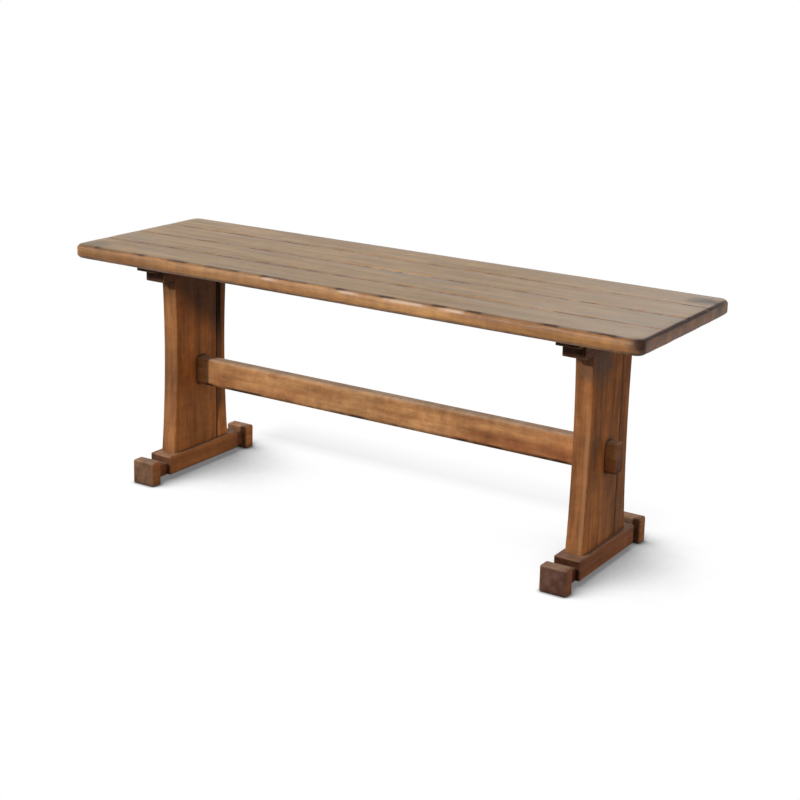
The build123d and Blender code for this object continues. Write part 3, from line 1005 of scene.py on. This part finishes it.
def arris_stain(tree, colour, at, top):
    across = maths(tree, "SUBTRACT", maths(tree, "ABSOLUTE", at["Y"]), seat_high.y)
    along = maths(tree, "SUBTRACT", maths(tree, "ABSOLUTE", at["X"]), seat_high.x)
    rim = maths(tree, "MAXIMUM", between(tree, across, -0.0140, -0.0085), between(tree, along, -0.0085, -0.0050))
    drop = maths(tree, "SUBTRACT", seat_high.z, at["Z"])
    right_end = between(tree, at["X"], 0.580, 0.592)
    ragged = maths(tree, "MULTIPLY", noise(tree, at["point"], (70, 12, 12), 2.0, 0.6), 0.0024)
    reach = maths(tree, "SUBTRACT", maths(tree, "ADD", drop, ragged), maths(tree, "MULTIPLY", right_end, 0.0022))
    crest = between(tree, reach, 0.0042, 0.0026)
    wander = noise(tree, at["point"], (6, 3, 3), 2.0)
    phase = maths(tree, "MULTIPLY_ADD", at["X"], math.tau / dash_pitch, maths(tree, "MULTIPLY", wander, 18.0))
    shorter = between(tree, at["X"], -0.20, 0.10, 0.45, 0.0)
    wave = maths(tree, "SUBTRACT", maths(tree, "SINE", phase), shorter)
    dashed = between(tree, wave, -0.25, 0.60, 0.38, 0.95)
    dashed = maths(tree, "MAXIMUM", dashed, maths(tree, "MULTIPLY", right_end, 0.92))
    dashed = maths(tree, "MULTIPLY", dashed, between(tree, at["Y"], 0.135, 0.165, 1.0, 0.35))
    colour = blended(tree, maths(tree, "MULTIPLY", rim, maths(tree, "MULTIPLY", crest, dashed)), colour, arris_brown)
    soaked = maths(tree, "MULTIPLY", right_end, between(tree, drop, 0.016, 0.003, 0.0, 0.40))
    colour = blended(tree, maths(tree, "MULTIPLY", soaked, maths(tree, "SUBTRACT", 1.0, top)), colour, arris_brown)
    below = between(tree, at["Z"], seat_low.z + 0.0078, seat_low.z + 0.0045)
    dents = between(tree, noise(tree, at["point"], (22, 9, 9), 3.0, 0.6), 0.45, 0.58, 0.25, 0.72)
    return blended(tree, maths(tree, "MULTIPLY", below, dents), colour, arris_brown)


def arris_highlights(tree, colour, at):
    # Painted highlights below the crest, in the middle of the front edge
    drop = maths(tree, "SUBTRACT", seat_high.z, at["Z"])
    zone = maths(tree, "MULTIPLY", between(tree, drop, 0.0012, 0.0024), between(tree, drop, 0.0072, 0.0048))
    fronts = between(tree, at["Y"], seat_low.y + 0.008, seat_low.y + 0.004)
    wander = maths(tree, "MULTIPLY", noise(tree, at["point"], (60, 20, 20), 3.0, 0.6), 0.030)
    spots = 0.0
    for place, half in highlight_places:
        away = maths(tree, "ADD", maths(tree, "ABSOLUTE", maths(tree, "SUBTRACT", at["X"], place)), wander)
        spots = maths(tree, "MAXIMUM", spots, between(tree, away, half + 0.024, half + 0.008, 0.0, 0.64))
    share = maths(tree, "MULTIPLY", maths(tree, "MULTIPLY", zone, fronts), spots)
    return blended(tree, share, colour, highlight_pink)


print("arris brown", arris_brown)

# %% [markdown]
# One function puts the seat's wood together for a board. The last marks are stains at two corners of the right
# end: a dark grey one at its back and a black one at its front.

# %% Seat wood for one board
stain_grey = (0.062, 0.054, 0.047, 1)
stain_brown = (0.055, 0.037, 0.028, 1)
corner_stains = (
    stain_spot(Vector((seat_high.x - 0.030, seat_high.y - 0.050, seat_high.z)), 0.036, 0.78, stain_grey),
    stain_spot(Vector((seat_high.x - 0.002, seat_high.y - 0.048, seat_high.z - 0.006)), 0.024, 0.70, stain_brown),
    stain_spot(Vector((seat_high.x - 0.005, seat_low.y + 0.005, seat_high.z - 0.005)), 0.025, 0.92, arris_brown),
)


def seat_wood(node_name, pith, grey_share):
    low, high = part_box(node_name)
    material, tree = new_material(node_name + "_wood")
    vector = grain_space(tree, node_name, "X", pith)
    figure = placed_group(tree, grain, {"Vector": vector, "Ring Width": 0.0045, "Wander": 0.014})
    at = whereabouts(tree)
    top = between(tree, at["faces Z"], 0.80, 0.98)
    colour = blended(tree, top, golden_edge(tree, figure, at), tan_top(tree, figure, at, grey_share))
    end_on = between(tree, maths(tree, "ABSOLUTE", at["faces X"]), 0.5, 0.95)
    colour = blended(tree, end_on, colour, tinted(tree, colour, seat_end_tint))
    joints = [line for line in (low.y, high.y) if seat_low.y + tiny < line < seat_high.y - tiny]
    colour = joint_lines(tree, colour, at, joints, end_on)
    colour = arris_stain(tree, colour, at, top)
    colour = arris_highlights(tree, colour, at)
    for stain in corner_stains:
        colour = stain(tree, colour, at, figure)
    # Corner darkening, weak on the top and strong underneath: dirt in the joints, and painted shade under the seat
    dirt_and_shade = placed_group(tree, corners, {"Vector": vector, "Reach": 0.03})["Mask"]
    under = between(tree, at["Z"], seat_high.z - 0.004, seat_high.z - 0.012, 0.1, 0.75)
    colour = blended(tree, maths(tree, "MULTIPLY", dirt_and_shade, under), colour, dirt_and_shade_brown)
    wood_surface(tree, colour, figure, (0.40, 0.54), 0.38)
    return material


seat_end_tint = (0.84, 0.80, 0.92, 1)
print("corner stains:", len(corner_stains))

# %% Finish the boards
seat_piths = ((0.2, 0.02, 0.12), (1.7, -0.03, 0.10), (3.1, 0.04, 0.13), (4.6, -0.01, 0.11))
grey_shares = (0.35, 0.8, 0.35, 0.5)
for node_name, pith, grey_share in zip(seat_names, seat_piths, grey_shares):
    worn_boards[node_name].data.materials.append(seat_wood(node_name, pith, grey_share))
print("seat boards finished:", len(seat_names))

# %% [markdown]
# ## Pegs and wedges
# Dowels and wedges hold the joints from inside. They are plain beech, with the same grain and no stain. Only the
# wedges in the stretcher's ends can be seen, and they are as dark as the ends round them, because both were oiled
# together.

# %% Pegs and wedges
beech = ((0.55, 0.33, 0.16, 1), (0.36, 0.20, 0.09, 1))
dark_wedge = ((0.30, 0.13, 0.07, 1), (0.13, 0.05, 0.03, 1))
pegs = {
    "seat_dowels": ("Y", (7.0, 0.02, 0.05), beech),
    "leg_dowels": ("Y", (7.5, 0.02, 0.05), beech),
    "foot_wedges": ("Z", (8.0, 0.02, 0.05), beech),
    "bearer_wedges": ("Z", (8.5, 0.02, 0.05), beech),
    "stretcher_wedges": ("X", (9.0, 0.02, 0.05), dark_wedge),
}
for node_name, (along, pith, browns) in pegs.items():
    finish_node(node_name, frame_wood(node_name, along, pith, browns))
print("pegs and wedges finished:", len(pegs))

# %% [markdown]
# ## Screws
# The screws are zinc-plated steel, turned on a lathe and dulled by air. Their heads are seen only from below. A
# metal is mostly its reflection, so the roughness carries the fine turning lines, and dull spots the age.

# %% Screw steel
zinc = (0.56, 0.57, 0.58, 1)
dull_zinc = (0.38, 0.36, 0.33, 1)


def screw_steel():
    material, tree = new_material("screw_steel")
    at = whereabouts(tree)
    turned = noise(tree, at["point"], (300, 300, 3000), 2.0)
    spots = noise(tree, at["point"], (180, 180, 180), 3.0)
    colour = blended(tree, between(tree, spots, 0.4, 0.7), zinc, dull_zinc)
    roughness = between(tree, turned, 0.3, 0.7, 0.28, 0.48)
    bump = add(tree, "Bump", {"Height": turned, "Strength": 0.2, "Distance": 0.0002}).outputs[0]
    sockets = {"Base Color": colour, "Roughness": roughness, "Metallic": 1.0, "Normal": bump}
    shader = add(tree, "BsdfPrincipled", sockets)
    add(tree, "OutputMaterial", {"Surface": shader.outputs[0]})
    return material


finish_node("seat_screws", screw_steel())
print("screws finished")
